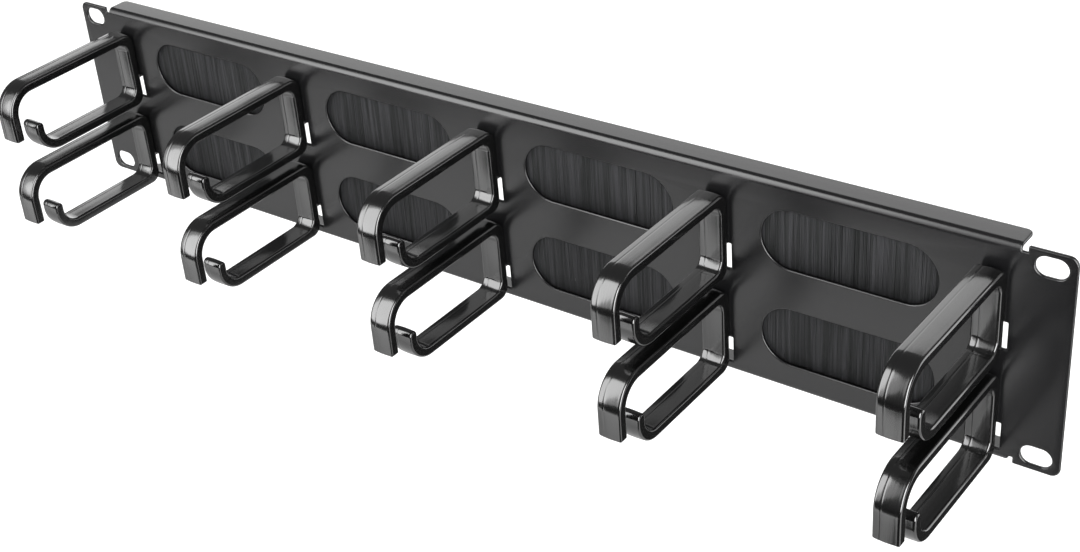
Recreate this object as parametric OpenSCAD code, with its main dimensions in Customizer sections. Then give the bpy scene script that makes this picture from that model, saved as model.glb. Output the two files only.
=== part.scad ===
// Horizontal cable manager, two rack units high: a folded sheet steel panel with two rows of
// long openings closed by brushes, and two rows of moulded open rings along its front.
// X runs across the rack, Y runs back into it and Z is up. The origin is in the middle of the
// four rack slots, on the back of the ears, where they meet the rails.

/* [Panel] */
// Width of the panel over both ears
panel_w = 482.6; // [450:0.1:520]
// Height of the panel
panel_h = 88.1; // [84:0.1:120]
// Thickness of the sheet
sheet_t = 1.5; // [1:0.1:2.5]
// Inside radius of the two folds
fold_r = 1; // [0.4:0.1:2.5]
// Depth of the folded flanges, from the front of the face
flange_depth = 11; // [8:0.5:25]
// Radius of the flanges' back corners
flange_corner_r = 2.5; // [0.5:0.1:4]
// Width of each flat ear
ear_w = 17; // [15:0.5:22]
// Radius of the ears' corners
ear_corner_r = 3.5; // [0.5:0.1:5]
// Width of the relief cut between a flange and its ear
relief_w = 2.2; // [1:0.1:4]
// Distance from the panel's ends to the middle of the outer rings
ring_inset = 28.1; // [26:0.1:40]

/* [Rack slots] */
// Distance from the panel's ends to the middle of a slot
slot_inset_x = 8.75; // [8:0.05:11]
// Distance from the panel's top and bottom edges to the middle of a slot
slot_inset_z = 5.95; // [5:0.05:12]
// Length of each slot
slot_w = 11.4; // [8:0.1:14]
// Height of each slot
slot_h = 7.6; // [6:0.1:8]

/* [Cable openings] */
// Number of openings in each row
bay_count = 4; // [2:1:6]
// Width of the metal between neighbouring openings
opening_web_w = 37.8; // [34:0.1:45]
// Height of the metal between the two rows of openings
opening_web_h = 17.1; // [14:0.1:25]
// Distance from the panel's top and bottom edges to the openings
opening_inset = 11.1; // [10:0.1:14]

/* [Cable rings] */
// Width of the moulded band
ring_w = 10; // [8.5:0.1:16]
// Thickness of the band
ring_t = 4.5; // [3:0.1:5]
// Radius along the band's edges
ring_edge_r = 0.9; // [0.3:0.1:1.4]
// Gap between the rings of the two rows
ring_gap = 5; // [3:0.1:8]
// Reach of a ring in front of the face
ring_reach = 74.6; // [70:0.1:110]
// Inside radius of the corners beside the face
back_in_r = 0.7; // [0.4:0.1:2]
// Radius of the hollow corners beside the face
hollow_r = 4.5; // [3:0.1:6]
// Outside radius of the front corner
front_r = 13.6; // [10:0.1:18]
// Height of the tail's end above the foot of the ring
tail_rise = 11.4; // [9:0.1:15]
// Width of the mouth between the tail and the lip
mouth_w = 6.9; // [5:0.1:20]
// Inside radius of the lip that curls up behind the tail
lip_r = 7.2; // [4:0.1:8]
// Straight length at the end of the lip
lip_len = 2.2; // [1:0.1:4]
// Distance by which a ring's middle lies below the middle of its opening
ring_drop = 3.9; // [3.7:0.1:4]

/* [Ring windows] */
// Width of the window that takes a ring's snap arm
window_w = 12.4; // [9:0.1:16]
// Height of the window
window_h = 10.8; // [8:0.1:12]
// Height of the window's lower edge above the foot of the ring
window_rise = 3.3; // [1.5:0.1:4]
// Height of the upper hook slot
hook_slot_h = 6; // [5:0.1:7]
// Distance from the top of the ring down to the upper slot
hook_slot_drop = 6.5; // [5.5:0.1:8]

/* [Ring hooks] */
// Width of the hook and the snap arm
hook_w = 6.4; // [4:0.1:7]
// Thickness of the hook's stem
hook_t = 2.6; // [2:0.1:3]
// Thickness of the hook's lip behind the sheet
hook_lip_t = 1.8; // [1.2:0.1:2.5]
// Overlap of a hook or barb with the sheet behind its edge
hook_hold = 1.2; // [0.8:0.1:1.6]
// Thickness of the snap arm
snap_t = 1.7; // [1.2:0.1:2]
// Play between a moulded hook and the sheet
hook_play = 0.25; // [0.1:0.05:0.4]

/* [Brushes] */
// Length of brush past each end of its opening
brush_overlap = 2.6; // [1:0.1:3]
// Thickness of the bristle pack
bristle_t = 3.2; // [2.6:0.1:4]
// Length of bristle below its opening
bristle_overrun = 3.6; // [1:0.1:4.5]
// Distance between neighbouring tufts
tuft_pitch = 2.4; // [2:0.1:2.6]
// Diameter of the core wire that the bristles fold round
core_d = 1.4; // [1:0.1:1.6]
// Clearance between a brush holder and the fold above it
holder_clear = 0.5; // [0.3:0.1:1]
// Thickness of the holder's sheet
holder_t = 0.8; // [0.6:0.05:1]
// Distance from an opening's edge to the holder above it
holder_gap = 1.1; // [0.5:0.1:1.2]
// Length of the tab at each end of a holder
tab_len = 7.2; // [6.8:0.1:7.4]

/* [Fasteners] */
// Diameter of the weld studs
stud_d = 3; // [2.5:0.1:3.2]
// Length of the studs behind the face
stud_len = 5.2; // [4:0.1:8]
// Width of the nuts across their flats
nut_af = 5.5; // [5:0.1:6]
// Thickness of the nuts
nut_t = 2.4; // [1.6:0.1:3]
// Play between a nut and its stud
nut_play = 0.05; // [0.05:0.05:0.15]
// Play between a tab's hole and its stud
tab_play = 0.2; // [0.1:0.05:0.3]

/* [Hidden] */
$fn = 64;
cut_over = 2;

ring_half = ring_t / 2;
fold_out_r = fold_r + sheet_t;
flange_w = panel_w - 2 * (ear_w + relief_w);
face_h = panel_h - 2 * fold_out_r;
flange_back = flange_depth - sheet_t;

slot_pitch_x = panel_w - 2 * slot_inset_x;
slot_pitch_z = panel_h - 2 * slot_inset_z;
opening_h = (panel_h - opening_web_h) / 2 - opening_inset;
row_pitch = opening_h + opening_web_h;
bay_pitch = (panel_w - 2 * ring_inset) / bay_count;
opening_w = bay_pitch - opening_web_w;
first_bay = -(bay_count - 1) * bay_pitch / 2;
first_column = first_bay - bay_pitch / 2;
row_zs = [row_pitch / 2, -row_pitch / 2];
ring_h = row_pitch - ring_gap;
ring_foot = -ring_drop - ring_h / 2;
back_r = ring_t + back_in_r;
hook_slot_rise = ring_h - hook_slot_drop - hook_slot_h;

front_len = ring_h - front_r - tail_rise;
top_arm = ring_reach - front_r - back_r;
web_share = 0.7;
web_t = web_share * ring_t;
lip_x = ring_reach - ring_t - mouth_w - ring_half;
lower_arm = lip_x - ring_half - lip_r;
lip_top = ring_t + lip_r + lip_len;

bristle_w = opening_w + 2 * brush_overlap;
holder_h = opening_inset - fold_out_r - holder_clear - holder_gap;
holder_foot = opening_h / 2 + holder_gap;
holder_depth = bristle_t + 2 * holder_t;
tuft_count = floor((bristle_w - bristle_t) / tuft_pitch) + 1;
tuft_step = (bristle_w - bristle_t) / (tuft_count - 1);
bristle_foot = -opening_h / 2 - bristle_overrun;
core_z = holder_foot + holder_h - holder_t - bristle_t / 2;
stud_x = bristle_w / 2 + tab_len / 2;
stud_z = holder_foot + holder_h / 2;
tuft_angle = 137.5;
tuft_cut_share = 0.02;

ROW_NAMES = ["upper", "lower"];

// Places what is drawn with x across and y up on the back of the face, thick towards the front.
module on_face() {
    rotate([90, 0, 0]) children();
}

// Turns a side view, with x to the front and y up, into the plane that a ring stands in.
module side_plane() {
    rotate([90, 0, -90]) children();
}

// Copies its children to every opening.
module at_openings() {
    for (z = row_zs)
        for (bay = [0 : bay_count - 1])
            translate([first_bay + bay * bay_pitch, 0, z]) children();
}

module rounded_rectangle(size, r) {
    square([size.x - 2 * r, size.y], center = true);
    square([size.x, size.y - 2 * r], center = true);
    for (x = [r - size.x / 2, size.x / 2 - r])
        for (y = [r - size.y / 2, size.y / 2 - r])
            translate([x, y]) circle(r);
}

module obround(length, height) {
    square([length - height, height], center = true);
    for (x = [height - length, length - height])
        translate([x / 2, 0]) circle(d = height);
}

// Panel

module ear_outline() {
    for (side = [-1, 1])
        translate([side * (panel_w - ear_w) / 2, 0]) {
            rounded_rectangle([ear_w, panel_h], ear_corner_r);
            translate([-side * ear_w / 4, 0]) square([ear_w / 2, panel_h], center = true);
        }
}

module ring_cuts() {
    translate([0, window_rise + window_h / 2]) square([window_w, window_h], center = true);
    translate([0, hook_slot_rise + hook_slot_h / 2])
        square([hook_w + 2 * hook_play, hook_slot_h], center = true);
}

module face_outline() {
    difference() {
        union() {
            ear_outline();
            square([panel_w - 2 * ear_w, face_h], center = true);
        }
        for (x = [-slot_pitch_x, slot_pitch_x])
            for (z = [-slot_pitch_z, slot_pitch_z])
                translate([x / 2, z / 2]) obround(slot_w, slot_h);
        for (z = row_zs) {
            for (bay = [0 : bay_count - 1])
                translate([first_bay + bay * bay_pitch, z]) obround(opening_w, opening_h);
            for (column = [0 : bay_count])
                translate([first_column + column * bay_pitch, z + ring_foot]) ring_cuts();
        }
    }
}

// Section of a fold and its flange, drawn with x to the back and y up from where the fold starts.
module flange_section() {
    intersection() {
        translate([fold_r, 0]) difference() {
            circle(fold_out_r);
            circle(fold_r);
        }
        translate([-sheet_t, 0]) square([fold_out_r, fold_out_r]);
    }
    translate([fold_r, fold_r]) square([flange_back - fold_r, sheet_t]);
}

// What is left of a flange when its back corners are rounded, seen from above.
module flange_outline() {
    translate([0, flange_depth / 2 - sheet_t]) {
        rounded_rectangle([flange_w, flange_depth], flange_corner_r);
        translate([0, -flange_depth / 4]) square([flange_w, flange_depth / 2], center = true);
    }
}

module flange() {
    intersection() {
        translate([-flange_w / 2, 0, face_h / 2])
            rotate([90, 0, 90]) linear_extrude(flange_w) flange_section();
        linear_extrude(panel_h) flange_outline();
    }
}

module panel() {
    color("dimgray") {
        on_face() linear_extrude(sheet_t) face_outline();
        flange();
        mirror([0, 0, 1]) flange();
    }
}

// Rings

module band_section() {
    rounded_rectangle([ring_t, ring_w], ring_edge_r);
}

// Section that fills a hollow corner: round edges inside, square ones buried in the band.
module web_section() {
    translate([web_t / 2, 0]) rounded_rectangle([web_t, ring_w], ring_edge_r);
    translate([web_t / 2, -ring_w / 2]) square([web_t / 2, ring_w]);
}

module band_straight(from, heading, length) {
    side_plane() translate(from) rotate([0, 0, heading]) rotate([0, 90, 0])
        linear_extrude(length) rotate(90) band_section();
}

module band_bend(centre, r, start, turn) {
    side_plane() translate(centre) rotate(start)
        rotate_extrude(angle = turn) translate([r, 0]) band_section();
}

// Round end of the band at a point, for a band that runs in the given heading.
module band_end(point, heading) {
    side_plane() translate(point) rotate(heading - 90)
        rotate_extrude(angle = 180) intersection() {
            band_section();
            translate([0, -ring_w / 2]) square([ring_half, ring_w]);
        }
}

module hollow_corner(centre, start) {
    side_plane() translate(centre) rotate(start)
        rotate_extrude(angle = 90) translate([hollow_r, 0]) web_section();
}

// Front bar with its tail, whose end is flat with the same rounding as the band's edges.
module tail() {
    length = front_len + ring_edge_r;
    intersection() {
        band_straight([ring_reach - ring_half, tail_rise], 90, front_len);
        side_plane() translate([ring_reach - ring_half, tail_rise + length / 2, -ring_w])
            linear_extrude(2 * ring_w) rounded_rectangle([ring_t, length], ring_edge_r);
        translate([0, 0, tail_rise + length / 2]) on_face()
            linear_extrude(ring_reach + cut_over) rounded_rectangle([ring_w, length], ring_edge_r);
    }
}

module band() {
    band_straight([ring_half, back_r], 90, ring_h - 2 * back_r);
    band_bend([back_r, back_r], back_r - ring_half, 180, 90);
    band_bend([back_r, ring_h - back_r], back_r - ring_half, 90, 90);
    band_straight([back_r, ring_h - ring_half], 0, top_arm);
    band_bend([ring_reach - front_r, ring_h - front_r], front_r - ring_half, 0, 90);
    tail();
    band_straight([back_r, ring_half], 0, lower_arm - back_r);
    band_bend([lower_arm, ring_t + lip_r], lip_r + ring_half, -90, 90);
    band_straight([lip_x, lip_top - lip_len], 90, lip_len);
    band_end([lip_x, lip_top], 90);
    hollow_corner([ring_t + hollow_r, ring_t + hollow_r], 180);
    hollow_corner([ring_t + hollow_r, ring_h - ring_t - hollow_r], 90);
}

// Side view of the hook that goes through the upper slot and stands up behind the sheet.
module hook_side() {
    stem = sheet_t + hook_play + hook_lip_t;
    lip_top = hook_slot_h + hook_hold;
    translate([-stem, hook_slot_rise + hook_play]) {
        square([stem + ring_half, hook_t]);
        square([hook_lip_t, lip_top - hook_play]);
    }
}

// Side view of the snap arm: a straight tongue through the window with a barb behind its edge.
module snap_side() {
    arm_top = window_rise + window_h - hook_play;
    barb_foot = sheet_t + hook_play;
    tip = barb_foot + 2 * snap_t;
    polygon([
        [ring_half, arm_top - snap_t],
        [-tip, arm_top - snap_t],
        [-tip, arm_top - snap_t / 2],
        [-barb_foot - snap_t / 2, arm_top + hook_play + hook_hold],
        [-barb_foot, arm_top + hook_play + hook_hold],
        [-barb_foot, arm_top],
        [ring_half, arm_top]
    ]);
}

module ring_hooks() {
    side_plane() translate([0, 0, -hook_w / 2]) linear_extrude(hook_w) {
        hook_side();
        snap_side();
    }
}

module ring(column, row) {
    color("black")
        translate([first_column + (column - 1) * bay_pitch, -sheet_t, row_zs[row] + ring_foot]) {
            band();
            ring_hooks();
        }
}

// Brushes

// Section of a holder, drawn with x to the back and y up: a channel that is open downwards.
module holder_section() {
    square([holder_t, holder_h]);
    translate([holder_depth - holder_t, 0]) square([holder_t, holder_h]);
    translate([0, holder_h - holder_t]) square([holder_depth, holder_t]);
}

// Front wall of a holder with the tabs that it ends in.
module holder_plate() {
    difference() {
        translate([-bristle_w / 2 - tab_len, 0]) square([bristle_w + 2 * tab_len, holder_h]);
        for (x = [-stud_x, stud_x])
            translate([x, holder_h / 2]) circle(d = stud_d + 2 * tab_play);
    }
}

module brush_holder(bay, row) {
    color("silver")
        translate([first_bay + (bay - 1) * bay_pitch, 0, row_zs[row] + holder_foot]) {
            translate([-bristle_w / 2, 0, 0])
                rotate([90, 0, 90]) linear_extrude(bristle_w) holder_section();
            translate([0, holder_t, 0]) on_face() linear_extrude(holder_t) holder_plate();
        }
}

// Section of the bristles that fold round the core wire, drawn with x to the back and y up.
module bristle_fold() {
    difference() {
        union() {
            translate([0, core_z]) circle(d = bristle_t);
            translate([-bristle_t / 2, holder_foot]) square([bristle_t, core_z - holder_foot]);
        }
        translate([0, core_z]) circle(d = core_d);
    }
}

module bristles(bay, row) {
    color("black")
        translate([first_bay + (bay - 1) * bay_pitch, holder_depth / 2, row_zs[row]]) {
            translate([-bristle_w / 2, 0, 0])
                rotate([90, 0, 90]) linear_extrude(bristle_w) bristle_fold();
            for (tuft = [0 : tuft_count - 1]) {
                cut = tuft_cut_share * (holder_foot - bristle_foot) * (1 + sin(tuft * tuft_angle));
                translate([bristle_t / 2 - bristle_w / 2 + tuft * tuft_step, 0, bristle_foot + cut])
                    cylinder(d = bristle_t, h = holder_foot - bristle_foot - cut);
            }
        }
}

module core_wires() {
    color("lightgray") at_openings()
        translate([-bristle_w / 2, holder_depth / 2, core_z])
            rotate([0, 90, 0]) cylinder(d = core_d, h = bristle_w);
}

// Fasteners

module at_studs() {
    at_openings()
        for (x = [-stud_x, stud_x])
            translate([x, 0, stud_z]) rotate([-90, 0, 0]) children();
}

module weld_studs() {
    color("silver") at_studs() cylinder(d = stud_d, h = stud_len);
}

module stud_nuts() {
    color("gainsboro") at_studs()
        translate([0, 0, holder_t]) difference() {
            linear_extrude(nut_t) circle(d = nut_af / cos(30), $fn = 6);
            translate([0, 0, -nut_t]) cylinder(d = stud_d + 2 * nut_play, h = 3 * nut_t);
        }
}

panel();
for (row = [0, 1])
    for (column = [1 : bay_count + 1])
        ring(column, row);
for (row = [0, 1])
    for (bay = [1 : bay_count])
        brush_holder(bay, row);
for (row = [0, 1])
    for (bay = [1 : bay_count])
        bristles(bay, row);
core_wires();
weld_studs();
stud_nuts();
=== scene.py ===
import math
import random

import bmesh
import bpy
from mathutils import Matrix, Quaternion, Vector, noise


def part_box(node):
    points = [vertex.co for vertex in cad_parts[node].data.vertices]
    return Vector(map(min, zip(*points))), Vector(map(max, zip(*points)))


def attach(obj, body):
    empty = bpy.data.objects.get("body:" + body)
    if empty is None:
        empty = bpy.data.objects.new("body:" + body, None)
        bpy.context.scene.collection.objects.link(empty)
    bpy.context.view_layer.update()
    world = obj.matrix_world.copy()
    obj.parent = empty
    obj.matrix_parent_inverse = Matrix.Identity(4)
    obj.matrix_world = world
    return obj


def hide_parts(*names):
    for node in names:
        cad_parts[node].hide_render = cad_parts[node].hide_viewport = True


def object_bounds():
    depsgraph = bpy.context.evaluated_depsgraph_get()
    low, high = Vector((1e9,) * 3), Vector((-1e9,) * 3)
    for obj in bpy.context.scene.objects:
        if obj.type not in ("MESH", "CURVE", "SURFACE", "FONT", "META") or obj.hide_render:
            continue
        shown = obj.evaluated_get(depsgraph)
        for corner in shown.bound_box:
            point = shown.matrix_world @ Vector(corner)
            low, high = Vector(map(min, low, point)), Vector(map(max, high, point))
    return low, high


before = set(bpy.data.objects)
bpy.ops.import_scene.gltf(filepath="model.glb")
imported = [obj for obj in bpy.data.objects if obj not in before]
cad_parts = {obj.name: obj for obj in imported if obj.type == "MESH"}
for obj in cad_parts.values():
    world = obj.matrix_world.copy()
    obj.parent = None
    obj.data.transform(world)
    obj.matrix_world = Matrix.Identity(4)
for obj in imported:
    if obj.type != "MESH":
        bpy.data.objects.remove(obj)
cadBox = [list(corner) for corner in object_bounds()]
mm = 0.001
rowNames = ("upper", "lower")
bayCount = sum(name.startswith("bristles_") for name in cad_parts) // len(rowNames)
print("frame loaded:", len(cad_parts), "nodes,", bayCount, "bays in each row")


# Materials

def linear(hexColour):
    channels = [int(hexColour[place:place + 2], 16) / 255 for place in (1, 3, 5)]
    return [c / 12.92 if c <= 0.04045 else ((c + 0.055) / 1.055) ** 2.4 for c in channels] + [1]


def addNode(tree, kind, links, **settings):
    node = tree.nodes.new(kind)
    for name, value in settings.items():
        setattr(node, name, value)
    for socket, source in links.items():
        if isinstance(source, bpy.types.NodeSocket):
            tree.links.new(source, node.inputs[socket])
        else:
            node.inputs[socket].default_value = source
    return node


def newMaterial(name, sockets):
    material = bpy.data.materials.new(name)
    material.use_nodes = True
    tree = material.node_tree
    shader = tree.nodes["Principled BSDF"]
    for socket, value in sockets.items():
        shader.inputs[socket].default_value = value
    return material, tree, shader


# Polyester powder coat, sprayed on and baked: a satin black skin whose faint orange peel
# softens what it mirrors, so the rings show in it as smoky dark shapes.
powderCoat = {
    "colour": "#0e0e0f",
    "roughness": 0.26,
    "specular": 0.82,
    "peelSize": 1.1,  # mm from one dimple to the next
    "peelDepth": 0.004,  # mm
    "waveSize": 55,  # mm, the sheet's own slight waves
    "waveDepth": 0.05,
}


def makePowderCoat():
    look = powderCoat
    material, tree, shader = newMaterial("satinBlackPowderCoat", {
        "Base Color": linear(look["colour"]),
        "Roughness": look["roughness"],
        "Specular IOR Level": look["specular"],
    })
    place = addNode(tree, "ShaderNodeTexCoord", {}).outputs["Object"]
    peel = addNode(tree, "ShaderNodeTexNoise", {
        "Vector": place, "Scale": 1 / (look["peelSize"] * mm), "Detail": 1.0})
    wave = addNode(tree, "ShaderNodeTexNoise", {
        "Vector": place, "Scale": 1 / (look["waveSize"] * mm), "Detail": 0.0})
    waveBump = addNode(tree, "ShaderNodeBump", {
        "Height": wave.outputs["Fac"], "Distance": look["waveDepth"] * mm})
    peelBump = addNode(tree, "ShaderNodeBump", {
        "Height": peel.outputs["Fac"], "Distance": look["peelDepth"] * mm,
        "Normal": waveBump.outputs["Normal"]})
    tree.links.new(peelBump.outputs["Normal"], shader.inputs["Normal"])
    return material


# Injection moulded ABS from a polished tool: near black and glossy, with fine flow lines along
# the band that fray the ends of each highlight.
mouldedAbs = {
    "colour": "#070707",
    "roughness": 0.17,
    "specular": 0.9,
    "coat": 0.75,
    "coatRoughness": 0.12,
    "flowWidth": 1.3,  # mm across a flow line
    "flowLength": 30,  # mm along it
    "flowDepth": 0.018,
}


def makeMouldedAbs():
    look = mouldedAbs
    material, tree, shader = newMaterial("polishedBlackAbs", {
        "Base Color": linear(look["colour"]),
        "Roughness": look["roughness"],
        "Specular IOR Level": look["specular"],
        "Coat Weight": look["coat"],
        "Coat Roughness": look["coatRoughness"],
    })
    place = addNode(tree, "ShaderNodeTexCoord", {}).outputs["Object"]
    along = 1 / (look["flowLength"] * mm)
    stretched = addNode(tree, "ShaderNodeMapping", {
        "Vector": place, "Scale": (1 / (look["flowWidth"] * mm), along, along)})
    flow = addNode(tree, "ShaderNodeTexNoise", {
        "Vector": stretched.outputs["Vector"], "Scale": 1.0, "Detail": 2.0})
    bump = addNode(tree, "ShaderNodeBump", {
        "Height": flow.outputs["Fac"], "Distance": look["flowDepth"] * mm})
    tree.links.new(bump.outputs["Normal"], shader.inputs["Normal"])
    tree.links.new(bump.outputs["Normal"], shader.inputs["Coat Normal"])
    return material


# Drawn nylon filament, crimped only at the fold: matt black with a dull gleam down each strand,
# and a shade that differs a little from strand to strand.
nylonFilament = {
    "dark": "#292a2a",
    "light": "#3c3c3e",
    "roughness": 0.5,
    "specular": 0.22,
    "shadeWidth": 1.1,  # mm, a few strands that share a shade
    "shadeLength": 60,
    "shadeStops": (0.35, 0.68),  # noise levels at which the dark and the light shade are reached
}


def makeNylonFilament():
    look = nylonFilament
    material, tree, shader = newMaterial("blackNylonFilament", {
        "Roughness": look["roughness"], "Specular IOR Level": look["specular"]})
    place = addNode(tree, "ShaderNodeTexCoord", {}).outputs["Object"]
    along = 1 / (look["shadeLength"] * mm)
    across = 1 / (look["shadeWidth"] * mm)
    stretched = addNode(tree, "ShaderNodeMapping", {"Vector": place, "Scale": (across, across, along)})
    shade = addNode(tree, "ShaderNodeTexNoise", {
        "Vector": stretched.outputs["Vector"], "Scale": 1.0, "Detail": 1.0})
    ramp = addNode(tree, "ShaderNodeValToRGB", {"Fac": shade.outputs["Fac"]})
    for stop, position, colour in zip(ramp.color_ramp.elements, look["shadeStops"], ("dark", "light")):
        stop.position = position
        stop.color = linear(look[colour])
    tree.links.new(ramp.outputs["Color"], shader.inputs["Base Color"])
    return material


# Mill finish aluminium, extruded as a channel: a soft grey metal with die lines along its length.
millAluminium = {
    "colour": "#c9cbce",
    "roughness": (0.26, 0.44),  # on the finest and the coarsest lines
    "lineWidth": 0.35,  # mm between die lines
    "lineLength": 45,
    "lineDepth": 0.003,
}


def makeMillAluminium():
    look = millAluminium
    material, tree, shader = newMaterial("millFinishAluminium", {
        "Base Color": linear(look["colour"]), "Metallic": 1.0})
    place = addNode(tree, "ShaderNodeTexCoord", {}).outputs["Object"]
    across = 1 / (look["lineWidth"] * mm)
    stretched = addNode(tree, "ShaderNodeMapping", {
        "Vector": place, "Scale": (1 / (look["lineLength"] * mm), across, across)})
    lines = addNode(tree, "ShaderNodeTexNoise", {
        "Vector": stretched.outputs["Vector"], "Scale": 1.0, "Detail": 2.0})
    gloss = addNode(tree, "ShaderNodeMapRange", {
        "Value": lines.outputs["Fac"], "To Min": look["roughness"][0],
        "To Max": look["roughness"][1]})
    bump = addNode(tree, "ShaderNodeBump", {
        "Height": lines.outputs["Fac"], "Distance": look["lineDepth"] * mm})
    tree.links.new(gloss.outputs["Result"], shader.inputs["Roughness"])
    tree.links.new(bump.outputs["Normal"], shader.inputs["Normal"])
    return material


# Zinc plate on steel, bright passivated: a cool white metal whose gloss clouds over in patches.
zincPlate = {
    "colour": "#c3c7cc",
    "tint": "#d2cdbb",
    "roughness": (0.2, 0.39),  # in the clearest and the cloudiest patches
    "cloudSize": 2.2,  # mm
}


def makeZincPlate():
    look = zincPlate
    material, tree, shader = newMaterial("brightZincPlate", {"Metallic": 1.0})
    place = addNode(tree, "ShaderNodeTexCoord", {}).outputs["Object"]
    clouds = addNode(tree, "ShaderNodeTexNoise", {
        "Vector": place, "Scale": 1 / (look["cloudSize"] * mm), "Detail": 3.0})
    ramp = addNode(tree, "ShaderNodeValToRGB", {"Fac": clouds.outputs["Fac"]})
    for stop, colour in zip(ramp.color_ramp.elements, ("colour", "tint")):
        stop.color = linear(look[colour])
    gloss = addNode(tree, "ShaderNodeMapRange", {
        "Value": clouds.outputs["Fac"], "To Min": look["roughness"][0],
        "To Max": look["roughness"][1]})
    tree.links.new(ramp.outputs["Color"], shader.inputs["Base Color"])
    tree.links.new(gloss.outputs["Result"], shader.inputs["Roughness"])
    return material


coatBlack = makePowderCoat()
absBlack = makeMouldedAbs()
nylonBlack = makeNylonFilament()
aluminiumGrey = makeMillAluminium()
zincWhite = makeZincPlate()
print("materials made")


# Pieces

def addPiece(name, mesh, material, nodes):
    piece = bpy.data.objects.new(name, mesh)
    bpy.context.scene.collection.objects.link(piece)
    mesh.materials.append(material)
    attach(piece, "root")
    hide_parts(*nodes)
    return piece


def smoothShade(piece, smoothAngle):
    for face in piece.data.polygons:
        face.use_smooth = True
    piece.data.set_sharp_from_angle(angle=math.radians(smoothAngle))
    weigh = piece.modifiers.new("faceNormals", "WEIGHTED_NORMAL")
    weigh.keep_sharp = True


softening = {
    "weld": 0.001,  # mm, corners nearer to each other than this become one
    "flatAngle": 0.5,  # degrees, up to which two faces count as one flat face
    "sharpAngle": 35,  # beyond which an edge is rounded off
    "segments": 3,  # in each rounded edge
    "smoothAngle": 50,  # up to which the shading runs on over an edge
}


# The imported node's own form with every sharp edge rounded off, as paint or plating leaves it.
def softened(nodeName, pieceName, radius):
    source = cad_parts[nodeName].data
    mesh = bpy.data.meshes.new(pieceName)
    corners = [vertex.co for vertex in source.vertices]
    mesh.from_pydata(corners, [], [tuple(face.vertices) for face in source.polygons])
    work = bmesh.new()
    work.from_mesh(mesh)
    bmesh.ops.remove_doubles(work, verts=work.verts, dist=softening["weld"] * mm)
    bmesh.ops.dissolve_limit(
        work, angle_limit=math.radians(softening["flatAngle"]), verts=work.verts, edges=work.edges)
    sharpAngle = math.radians(softening["sharpAngle"])
    sharp = [edge for edge in work.edges if edge.calc_face_angle() > sharpAngle]
    bmesh.ops.bevel(
        work, geom=sharp, offset=radius * mm, offset_type="OFFSET",
        segments=softening["segments"], profile=0.5, affect="EDGES", clamp_overlap=False)
    bmesh.ops.triangulate(work, faces=[face for face in work.faces if len(face.verts) > 4])
    work.to_mesh(mesh)
    work.free()
    return mesh


panelEdge = {"radius": 0.55}  # mm, coat and burr-free punch edges together

panelPiece = addPiece(
    "foldedPanel", softened("panel", "foldedPanel", panelEdge["radius"]), coatBlack,
    ["panel"])
smoothShade(panelPiece, softening["smoothAngle"])
print("panel made")


# Rings: a band traced as an outline in its side view, then swept across its width.
# Sizes are in mm, in the ring's own view: forward from the panel's face, and up from its foot.
ringBand = {
    "thickness": 4.5,
    "edgeRadius": 0.9,
    "frontRadius": 13.6,
    "backRadius": 5.2,
    "hollowRadius": 4.5,
    "tailRise": 11.4,
    "tailCorner": 0.95,
    "lipRadius": 7.2,
    "lipLength": 2.2,
    "mouth": 6.9,
    "arcStep": 6,  # degrees between points on an arc
    "lineStep": 3.5,  # mm between points on a straight run
    "edgeSteps": 5,  # steps round each side edge
    "leftShares": (-0.93, -0.85, -0.7),  # places of points across the broad face, in half widths
    "rightShares": (-0.2, 0, 0.2, 0.4, 0.55, 0.7, 0.82, 0.93),
    "smoothAngle": 60,  # degrees, up to which the shading runs on over an edge
    "seamShare": 0.3,  # where the mould's parting line runs, from the left edge
    "seamWidth": 0.3,
    "seamSteps": (-2, -1.2, -0.7, -0.3, 0, 0.3, 0.7, 1.2, 2),  # points across it, in its widths
    "seamDepth": 0.07,
    "stripTilt": 0.05,  # slope of the strip to its left
    "crown": 0.11,  # how far the broad faces fall off to their sides
    "crownShare": 0.3,  # how far the crown's middle is moved towards the parting line
    "shoulder": 0.45,  # how much further the top's right side falls off where it meets the panel
    "sink": 0.035,  # shrink marks along the band
    "sinkLength": 11,
    "sinkStretch": 9,  # how much longer they are across it
    "sinkApart": 7,  # keeps the marks of one ring unlike those of the next
}

# Hook and snap arm that hold a ring in the panel. The first stands up behind the sheet, the
# second has a barb behind the window's upper edge.
ringHook = {
    "width": 6.4,
    "sheet": 1.5,
    "play": 0.25,
    "lip": 1.8,
    "stem": 2.6,
    "slotHeight": 6,
    "slotDrop": 6.5,
    "hold": 1.2,
    "armTop": 14.1,
    "armThickness": 1.7,
    "edgeRadius": 0.22,
}


# Points along straight runs (length, 0) and arcs (radius, turn in degrees), each with the way
# that its surface faces.
def traceOutline(start, heading, moves, arcStep, lineStep):
    outline = []
    across, up = start
    for size, turn in moves:
        if turn == 0:
            steps = max(1, round(size / lineStep))
            ahead = Vector((math.cos(math.radians(heading)), math.sin(math.radians(heading))))
            for step in range(steps):
                spot = Vector((across, up)) + ahead * (size * step / steps)
                outline.append((spot, heading - 90))
            across, up = Vector((across, up)) + ahead * size
        else:
            side = math.copysign(size, turn)
            centre = Vector((across - side * math.sin(math.radians(heading)),
                             up + side * math.cos(math.radians(heading))))
            steps = math.ceil(abs(turn) / arcStep)
            for step in range(steps + 1):
                now = math.radians(heading + turn * step / steps)
                spot = centre + Vector((side * math.sin(now), -side * math.cos(now)))
                if step < steps:
                    outline.append((spot, heading + turn * step / steps - 90))
            across, up = spot
            heading += turn
    return outline


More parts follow.
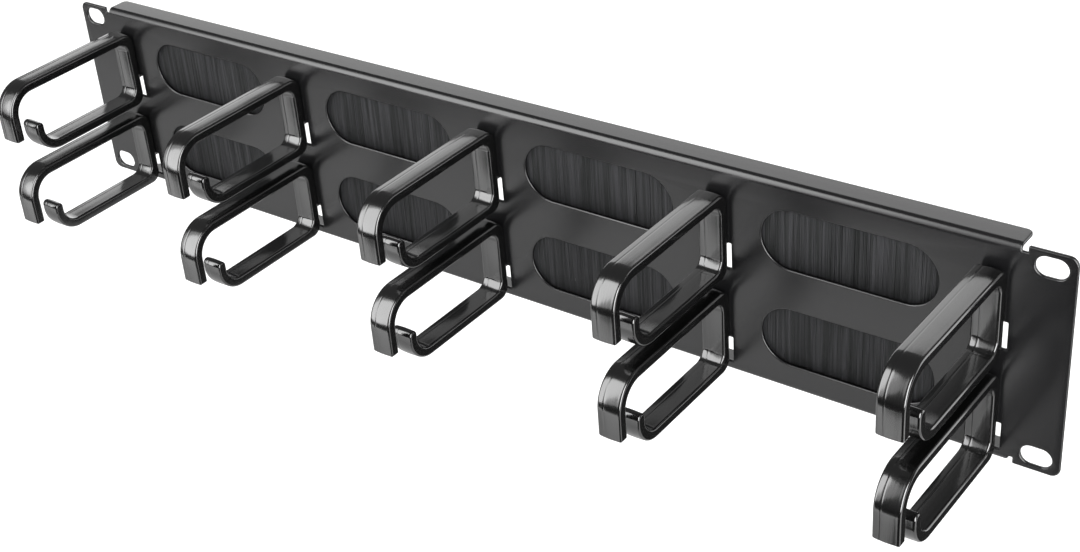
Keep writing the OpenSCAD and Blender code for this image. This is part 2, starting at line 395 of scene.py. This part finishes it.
def ringOutline(reach, height):
    b = ringBand
    corner = b["tailCorner"]
    lipTurn = b["lipRadius"] + b["thickness"]
    lowerArm = reach - b["thickness"] - b["mouth"] - lipTurn
    hollow = b["thickness"] + b["hollowRadius"]
    innerFront = b["frontRadius"] - b["thickness"]
    frontRun = height - b["frontRadius"] - b["tailRise"] - corner
    moves = [
        (frontRun, 0), (b["frontRadius"], 90),
        (reach - b["frontRadius"] - b["backRadius"], 0), (b["backRadius"], 90),
        (height - 2 * b["backRadius"], 0), (b["backRadius"], 90),
        (lowerArm - b["backRadius"], 0), (lipTurn, 90),
        (b["lipLength"], 0), (b["thickness"] / 2, 180), (b["lipLength"], 0),
        (b["lipRadius"], -90),
        (lowerArm - hollow, 0), (b["hollowRadius"], -90),
        (height - 2 * hollow, 0), (b["hollowRadius"], -90),
        (reach - b["frontRadius"] - hollow, 0), (innerFront, -90),
        (frontRun, 0), (corner, 90), (b["thickness"] - 2 * corner, 0), (corner, 90),
    ]
    start = (reach, b["tailRise"] + corner)
    return traceOutline(start, 90, moves, b["arcStep"], b["lineStep"])


# Places across the band with how far the surface lies below its full size there.
def bandColumns(width):
    b = ringBand
    flat = width / 2 - b["edgeRadius"]
    seam = (b["seamShare"] - 0.5) * width
    places = [flat * share for share in b["leftShares"]]
    places += [seam + b["seamWidth"] * step for step in b["seamSteps"]]
    places += [flat * share for share in b["rightShares"]]
    columns = []
    for step in range(b["edgeSteps"] + 1):
        turn = math.radians(90 * step / b["edgeSteps"])
        columns.append((-flat - b["edgeRadius"] * math.cos(turn),
                        b["edgeRadius"] * (1 - math.sin(turn))))
    columns += [(place, 0) for place in places]
    columns += [(-place, depth) for place, depth in reversed(columns[:b["edgeSteps"] + 1])]
    shaped = []
    for place, depth in columns:
        middle = min(1, abs(place - b["crownShare"] * seam) / flat)
        groove = b["seamDepth"] * math.exp(-((place - seam) / b["seamWidth"]) ** 2)
        strip = b["stripTilt"] * max(0, seam - max(place, -flat))
        shaped.append((place, depth + b["crown"] * middle ** 2 + groove + strip))
    return shaped


def addPlate(work, outline, halfWidth, edgeRadius):
    sides = []
    for across in (-halfWidth, halfWidth):
        sides.append([work.verts.new((across, -forward, up)) for forward, up in outline])
    faces = [work.faces.new(sides[0]), work.faces.new(reversed(sides[1]))]
    for here in range(len(outline)):
        after = (here + 1) % len(outline)
        faces.append(work.faces.new(
            (sides[0][after], sides[0][here], sides[1][here], sides[1][after])))
    edges = list({edge for face in faces for edge in face.edges})
    bmesh.ops.bevel(
        work, geom=edges, offset=edgeRadius, offset_type="OFFSET", segments=2, profile=0.5,
        affect="EDGES", clamp_overlap=True)


def addHooks(work, height):
    h = ringHook
    root = ringBand["thickness"] / 2
    foot = height - h["slotDrop"] - h["slotHeight"]
    stem = h["sheet"] + h["play"] + h["lip"]
    stemFoot = foot + h["play"]
    hookTop = foot + h["slotHeight"] + h["hold"]
    addPlate(work, [
        (root, stemFoot), (root, stemFoot + h["stem"]), (h["lip"] - stem, stemFoot + h["stem"]),
        (h["lip"] - stem, hookTop), (-stem, hookTop), (-stem, stemFoot),
    ], h["width"] / 2, h["edgeRadius"])
    top = h["armTop"] - h["play"]
    barb = h["sheet"] + h["play"]
    tip = barb + 2 * h["armThickness"]
    barbTop = h["armTop"] + h["hold"]
    addPlate(work, [
        (root, top - h["armThickness"]), (root, top), (-barb, top), (-barb, barbTop),
        (-barb - h["armThickness"] / 2, barbTop), (-tip, top - h["armThickness"] / 2),
        (-tip, top - h["armThickness"]),
    ], h["width"] / 2, h["edgeRadius"])


def makeRing(column, rowName):
    b = ringBand
    nodeName = f"ring_{column}_{rowName}"
    low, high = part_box(nodeName)
    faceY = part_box("panel")[0].y
    reach = (faceY - low.y) / mm
    width = (high.x - low.x) / mm
    height = (high.z - low.z) / mm
    outline = ringOutline(reach, height)
    columns = bandColumns(width)
    work = bmesh.new()
    grid = []
    for spot, facing in outline:
        outward = Vector((math.cos(math.radians(facing)), math.sin(math.radians(facing))))
        slump = b["shoulder"] * max(0, outward.y) * (1 - spot.x / reach) * (spot.y > height / 2)
        line = []
        for across, depth in columns:
            stretched = across / b["sinkStretch"] + b["sinkApart"] * column
            mark = noise.noise(Vector((stretched, spot.x, spot.y)) / b["sinkLength"])
            fall = depth + b["sink"] * (0.5 + mark) * (abs(across) < width / 2 - b["edgeRadius"] / 2)
            fall += slump * max(0, 2 * across / width) ** 2
            point = spot - outward * fall
            line.append(work.verts.new((across, -point.x, point.y)))
        grid.append(line)
    for here in range(len(grid)):
        after = grid[(here + 1) % len(grid)]
        for place in range(len(columns) - 1):
            work.faces.new((grid[here][place], after[place], after[place + 1], grid[here][place + 1]))
    work.faces.new([line[0] for line in reversed(grid)])
    work.faces.new([line[-1] for line in grid])
    addHooks(work, height)
    bmesh.ops.recalc_face_normals(work, faces=work.faces)
    bmesh.ops.triangulate(work, faces=[face for face in work.faces if len(face.verts) > 4])
    foot = Vector(((low.x + high.x) / 2, faceY, low.z))
    bmesh.ops.transform(work, matrix=Matrix.Translation(foot) @ Matrix.Scale(mm, 4), verts=work.verts)
    mesh = bpy.data.meshes.new(f"mouldedRing_{column}_{rowName}")
    work.to_mesh(mesh)
    work.free()
    piece = addPiece(mesh.name, mesh, absBlack, [nodeName])
    smoothShade(piece, b["smoothAngle"])


for rowName in rowNames:
    for column in range(1, bayCount + 2):
        makeRing(column, rowName)
print("rings made")


# Brushes: nylon strands folded over the core wire, so that each has a leg in front of it and
# one behind. Sizes are in mm.
brushStrands = {
    "count": 1150,
    "thickness": 0.28,
    "sides": 3,
    "wire": 0.7,  # radius of the core wire
    "lean": 0.7,  # how far tips drift together or apart
    "clump": 3.1,  # length of one such drift
    "legApart": 3.7,  # keeps the drift of the front legs unlike that of the back legs
    "bayApart": 11,  # and that of one bay unlike that of the next
    "bayStart": 1,
    "stray": 0.07,  # how far one tip strays from the drift
    "layerPower": 0.7,  # below 1, more strands lie at the outside of the pack
    "tipShare": 0.85,  # the least that a tip keeps of its distance from the middle
    "flare": 0.2,  # how far the tips fan out past the pack at the back
    "press": 0.7,  # and at the front, where they lean on the sheet
    "fanPower": 0.4,  # below 1, more tips lie at the outside of the fan
    "trim": 0.5,  # unevenness of the cut ends
    "endGap": 0.2,  # room left between a tip and the end of its bay
    "legShares": (1, 0.6, 0.2),  # heights of a leg's points, from the tip up
    "foldTurns": (20, 90, 160),  # degrees, where the points of the fold round the wire lie
}


def makeBrush(bay, rowName):
    s = brushStrands
    nodeName = f"bristles_{bay}_{rowName}"
    low, high = (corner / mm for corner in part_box(nodeName))
    chance = random.Random(f"{bay}{rowName}")
    middleY = (low.y + high.y) / 2
    pack = (high.y - low.y) / 2 - s["thickness"] / 2
    wireZ = high.z - (high.y - low.y) / 2
    legLength = wireZ - low.z
    corners, faces = [], []
    for strand in range(s["count"]):
        x = low.x + (strand + chance.random()) / s["count"] * (high.x - low.x)
        layer = s["wire"] + s["thickness"] / 2 + (pack - s["wire"]) * chance.random() ** s["layerPower"]
        path = []
        for side in (-1, 1):
            drift = noise.noise(Vector((
                x / s["clump"], s["legApart"] * side, s["bayApart"] * bay + s["bayStart"])))
            leanX = s["lean"] * drift + s["stray"] * chance.uniform(-1, 1)
            fan = s["press"] if side < 0 else s["flare"]
            outward = layer * chance.uniform(s["tipShare"], 1) + fan * chance.random() ** s["fanPower"]
            cut = s["trim"] * chance.random()
            leg = []
            for share in s["legShares"]:
                spread = math.sin(math.pi / 2 * share)
                leant = max(x + leanX * share ** 2, low.x + s["endGap"])
                leg.append((min(leant, high.x - s["endGap"]),
                            middleY + side * (layer * (1 - spread) + outward * spread),
                            wireZ - (legLength - cut) * share))
            path.append(leg)
        over = [(x, middleY - layer * math.cos(math.radians(turn)),
                 wireZ + layer * math.sin(math.radians(turn))) for turn in s["foldTurns"]]
        points = [Vector(point) for point in path[0] + over + path[1][::-1]]
        first = len(corners)
        for here, point in enumerate(points):
            along = points[min(here + 1, len(points) - 1)] - points[max(here - 1, 0)]
            normal = Vector((0, -along.z, along.y)).normalized()
            for side in range(s["sides"]):
                turn = 2 * math.pi * side / s["sides"]
                offset = Vector((math.cos(turn), 0, 0)) + normal * math.sin(turn)
                corners.append((point + offset * s["thickness"] / 2) * mm)
        for ring in range(len(points) - 1):
            for side in range(s["sides"]):
                here = first + ring * s["sides"]
                after = (side + 1) % s["sides"]
                faces.append((here + side, here + after,
                              here + s["sides"] + after, here + s["sides"] + side))
        last = len(corners) - s["sides"]
        faces.append(tuple(range(first + s["sides"] - 1, first - 1, -1)))
        faces.append(tuple(range(last, last + s["sides"])))
    mesh = bpy.data.meshes.new(f"brushStrands_{bay}_{rowName}")
    mesh.from_pydata(corners, [], faces)
    piece = addPiece(mesh.name, mesh, nylonBlack, [nodeName])
    for face in piece.data.polygons:
        face.use_smooth = len(face.vertices) == 4


for rowName in rowNames:
    for bay in range(1, bayCount + 1):
        makeBrush(bay, rowName)
print("brushes made")


# Metal parts behind the panel

metalEdge = {"holder": 0.12, "nut": 0.22}  # mm

for rowName in rowNames:
    for bay in range(1, bayCount + 1):
        nodeName = f"brush_holder_{bay}_{rowName}"
        pieceName = f"brushChannel_{bay}_{rowName}"
        channel = addPiece(
            pieceName, softened(nodeName, pieceName, metalEdge["holder"]), aluminiumGrey,
            [nodeName])
        smoothShade(channel, softening["smoothAngle"])

nutPiece = addPiece(
    "hexNuts", softened("stud_nuts", "hexNuts", metalEdge["nut"]), zincWhite,
    ["stud_nuts"])
smoothShade(nutPiece, softening["smoothAngle"])

# The welded studs and the brushes' core wires are shown in the frame's own form.
for nodeName in ("weld_studs", "core_wires"):
    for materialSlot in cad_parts[nodeName].material_slots:
        materialSlot.material = zincWhite
print("metal parts made")


# Studio: a sheet of white paper below the panel, which glows with painted light where the object
# mirrors it, a softbox with a bright core to the left of the camera, a fill lamp to its right, and a
# backdrop and a rim lamp behind the panel, in a dim room.
# Directions are in degrees: round from the front towards the left, and up from the horizon.
# Places and sizes are in metres.
studio = {
    "floorDrop": 0.256,  # below the panel's lower edge
    "floorOutline": [
        (-1.2, -0.5), (0.1, -0.5), (0.1, -0.25), (1.4, -0.25), (1.4, 1.0), (0.62, 1.0),
        (0.62, 0.12), (0.2, 0.12), (0.2, 1.0), (-1.2, 1.0)],
    "floorColour": "#bababa",
    "floorWhite": 0.85,
    "paintedFloorGlow": 0.95,
    "glowEdges": (-0.345, -0.455),  # painted glow that the object mirrors, painted darker close under it: it rises from the first y to the second
    "sideEdges": (0.5, 0.6),  # and at the right from the first x to the second
    "white": "#ffffff",
    "roomSize": 3,
    "roomHeights": (-1.2, 0.2),  # up to the first the walls are dark, from the second on lighter
    "roomLevels": (0.04, 0.15),  # how bright they are below and above
    "key": {
        "around": 36, "up": 24, "away": 1.22, "width": 1.26, "height": 1.86, "radiance": 1.5,
        "shape": "ELLIPSE"},
    "keyCore": {
        "around": 37, "up": 24, "away": 1.2, "width": 0.74, "height": 1.8, "radiance": 3.5,
        "shape": "ELLIPSE"},
    "backdrop": {
        "around": 153, "up": 16, "away": 0.95, "width": 1.33, "height": 0.8, "radiance": 1.4,
        "shape": "RECTANGLE", "roll": -18},
    "rim": {
        "around": 222, "up": 5, "away": 0.9, "width": 0.9, "height": 0.6, "radiance": 2,
        "shape": "RECTANGLE"},
    "fill": {
        "around": -55, "up": 14, "away": 1, "width": 0.6, "height": 1.1, "radiance": 9,
        "shape": "RECTANGLE"},
}


def makeFloor():
    s = studio
    material = bpy.data.materials.new("whitePaperWithPaintedGlow")
    material.use_nodes = True
    tree = material.node_tree
    tree.nodes.clear()
    rays = addNode(tree, "ShaderNodeLightPath", {})
    # Painted light: mirrored rays see the paper glow. The glow is painted dark close under the object
    # and rises further out to the front and to the right.
    mirrored = addNode(tree, "ShaderNodeMath", {
        0: rays.outputs["Is Glossy Ray"], 1: rays.outputs["Is Transmission Ray"]},
        operation="MAXIMUM")
    place = addNode(tree, "ShaderNodeTexCoord", {}).outputs["Object"]
    apart = addNode(tree, "ShaderNodeSeparateXYZ", {"Vector": place})
    far = addNode(tree, "ShaderNodeMapRange", {
        "Value": apart.outputs["Y"], "From Min": s["glowEdges"][0], "From Max": s["glowEdges"][1],
        "To Max": s["paintedFloorGlow"]})
    beside = addNode(tree, "ShaderNodeMapRange", {
        "Value": apart.outputs["X"], "From Min": s["sideEdges"][0], "From Max": s["sideEdges"][1],
        "To Max": s["paintedFloorGlow"]})
    either = addNode(tree, "ShaderNodeMath", {
        0: far.outputs["Result"], 1: beside.outputs["Result"]}, operation="MAXIMUM")
    dim = addNode(tree, "ShaderNodeMath", {
        0: mirrored.outputs[0], 1: either.outputs[0]}, operation="MULTIPLY")
    glow = addNode(tree, "ShaderNodeMath", {
        0: rays.outputs["Is Camera Ray"], 1: s["floorWhite"], 2: dim.outputs[0]},
        operation="MULTIPLY_ADD")
    paper = addNode(tree, "ShaderNodeBsdfDiffuse", {"Color": linear(s["floorColour"])})
    light = addNode(tree, "ShaderNodeEmission", {"Strength": glow.outputs[0]})
    both = addNode(tree, "ShaderNodeAddShader", {0: paper.outputs[0], 1: light.outputs[0]})
    addNode(tree, "ShaderNodeOutputMaterial", {"Surface": both.outputs[0]})
    height = cadBox[0][2] - s["floorDrop"]
    outline = s["floorOutline"]
    mesh = bpy.data.meshes.new("paperFloor")
    mesh.from_pydata([(x, y, height) for x, y in outline], [], [tuple(range(len(outline)))])
    mesh.materials.append(material)
    floor = bpy.data.objects.new("paperFloor", mesh)
    bpy.context.scene.collection.objects.link(floor)


def makeWorld():
    world = bpy.data.worlds.new("whiteBackground")
    bpy.context.scene.world = world
    world.use_nodes = True
    tree = world.node_tree
    tree.nodes.clear()
    white = addNode(tree, "ShaderNodeBackground", {"Color": linear(studio["white"])})
    addNode(tree, "ShaderNodeOutputWorld", {"Surface": white.outputs[0]})


# The walls of the dim room, which only the camera looks through.
def makeRoom():
    s = studio
    material = bpy.data.materials.new("greyStudioWall")
    material.use_nodes = True
    tree = material.node_tree
    tree.nodes.clear()
    place = addNode(tree, "ShaderNodeTexCoord", {}).outputs["Object"]
    apart = addNode(tree, "ShaderNodeSeparateXYZ", {"Vector": place})
    level = addNode(tree, "ShaderNodeMapRange", {
        "Value": apart.outputs["Z"], "From Min": s["roomHeights"][0],
        "From Max": s["roomHeights"][1], "To Min": s["roomLevels"][0],
        "To Max": s["roomLevels"][1]})
    light = addNode(tree, "ShaderNodeEmission", {
        "Color": linear(s["white"]), "Strength": level.outputs["Result"]})
    addNode(tree, "ShaderNodeOutputMaterial", {"Surface": light.outputs[0]})
    material.cycles.emission_sampling = "NONE"
    mesh = bpy.data.meshes.new("studioWalls")
    work = bmesh.new()
    bmesh.ops.create_cube(work, size=2 * s["roomSize"])
    bmesh.ops.reverse_faces(work, faces=work.faces)
    work.to_mesh(mesh)
    work.free()
    mesh.materials.append(material)
    room = bpy.data.objects.new("studioWalls", mesh)
    room.visible_camera = False
    bpy.context.scene.collection.objects.link(room)


def addSoftbox(name):
    box = studio[name]
    around = math.radians(box["around"])
    up = math.radians(box["up"])
    away = Vector((-math.sin(around) * math.cos(up), -math.cos(around) * math.cos(up), math.sin(up)))
    lamp = bpy.data.lights.new(name, "AREA")
    lamp.shape = box["shape"]
    lamp.size = box["width"]
    lamp.size_y = box["height"]
    areaShare = math.pi / 4 if box["shape"] == "ELLIPSE" else 1
    area = areaShare * box["width"] * box["height"]
    lamp.energy = box["radiance"] * math.pi * area  # watts of an even lamp with that radiance
    softbox = bpy.data.objects.new(name, lamp)
    softbox.location = away * box["away"]
    softbox.rotation_mode = "QUATERNION"
    roll = Quaternion((0, 0, 1), math.radians(box.get("roll", 0)))
    softbox.rotation_quaternion = (-away).to_track_quat("-Z", "Y") @ roll
    softbox.visible_camera = False
    bpy.context.scene.collection.objects.link(softbox)


makeFloor()
makeWorld()
makeRoom()
for name in ("key", "keyCore", "backdrop", "rim", "fill"):
    addSoftbox(name)
print("studio made")


# Camera: where the photograph was taken from, in mm and degrees. Round is to the right of the
# front, and the shift is as large as the photograph's crop.
cameraView = {
    "place": (404.2, -480.7, 346.1),
    "around": 40.88,
    "down": 30.10,
    "roll": -5.99,
    "lens": 58.40,
    "sensor": 36,
    "shiftX": 0.0594,
    "shiftY": -0.0328,
    "clip": (0.01, 50),  # metres
}


def makeCamera():
    c = cameraView
    around, down, roll = (math.radians(c[key]) for key in ("around", "down", "roll"))
    ahead = Vector((-math.sin(around) * math.cos(down), math.cos(around) * math.cos(down),
                    -math.sin(down)))
    level = Vector((math.cos(around), math.sin(around), 0))
    upright = level.cross(ahead)
    right = level * math.cos(roll) + upright * math.sin(roll)
    up = right.cross(ahead)
    lens = bpy.data.cameras.new("photoCamera")
    lens.sensor_width = c["sensor"]
    lens.lens = c["lens"]
    lens.shift_x = c["shiftX"]
    lens.shift_y = c["shiftY"]
    lens.clip_start, lens.clip_end = c["clip"]
    camera = bpy.data.objects.new("photoCamera", lens)
    turned = Matrix((right, up, -ahead)).transposed().to_4x4()
    camera.matrix_world = Matrix.Translation(Vector(c["place"]) * mm) @ turned
    bpy.context.scene.collection.objects.link(camera)
    bpy.context.scene.camera = camera


makeCamera()
bpy.context.scene.view_settings.view_transform = "Standard"
print("camera made")
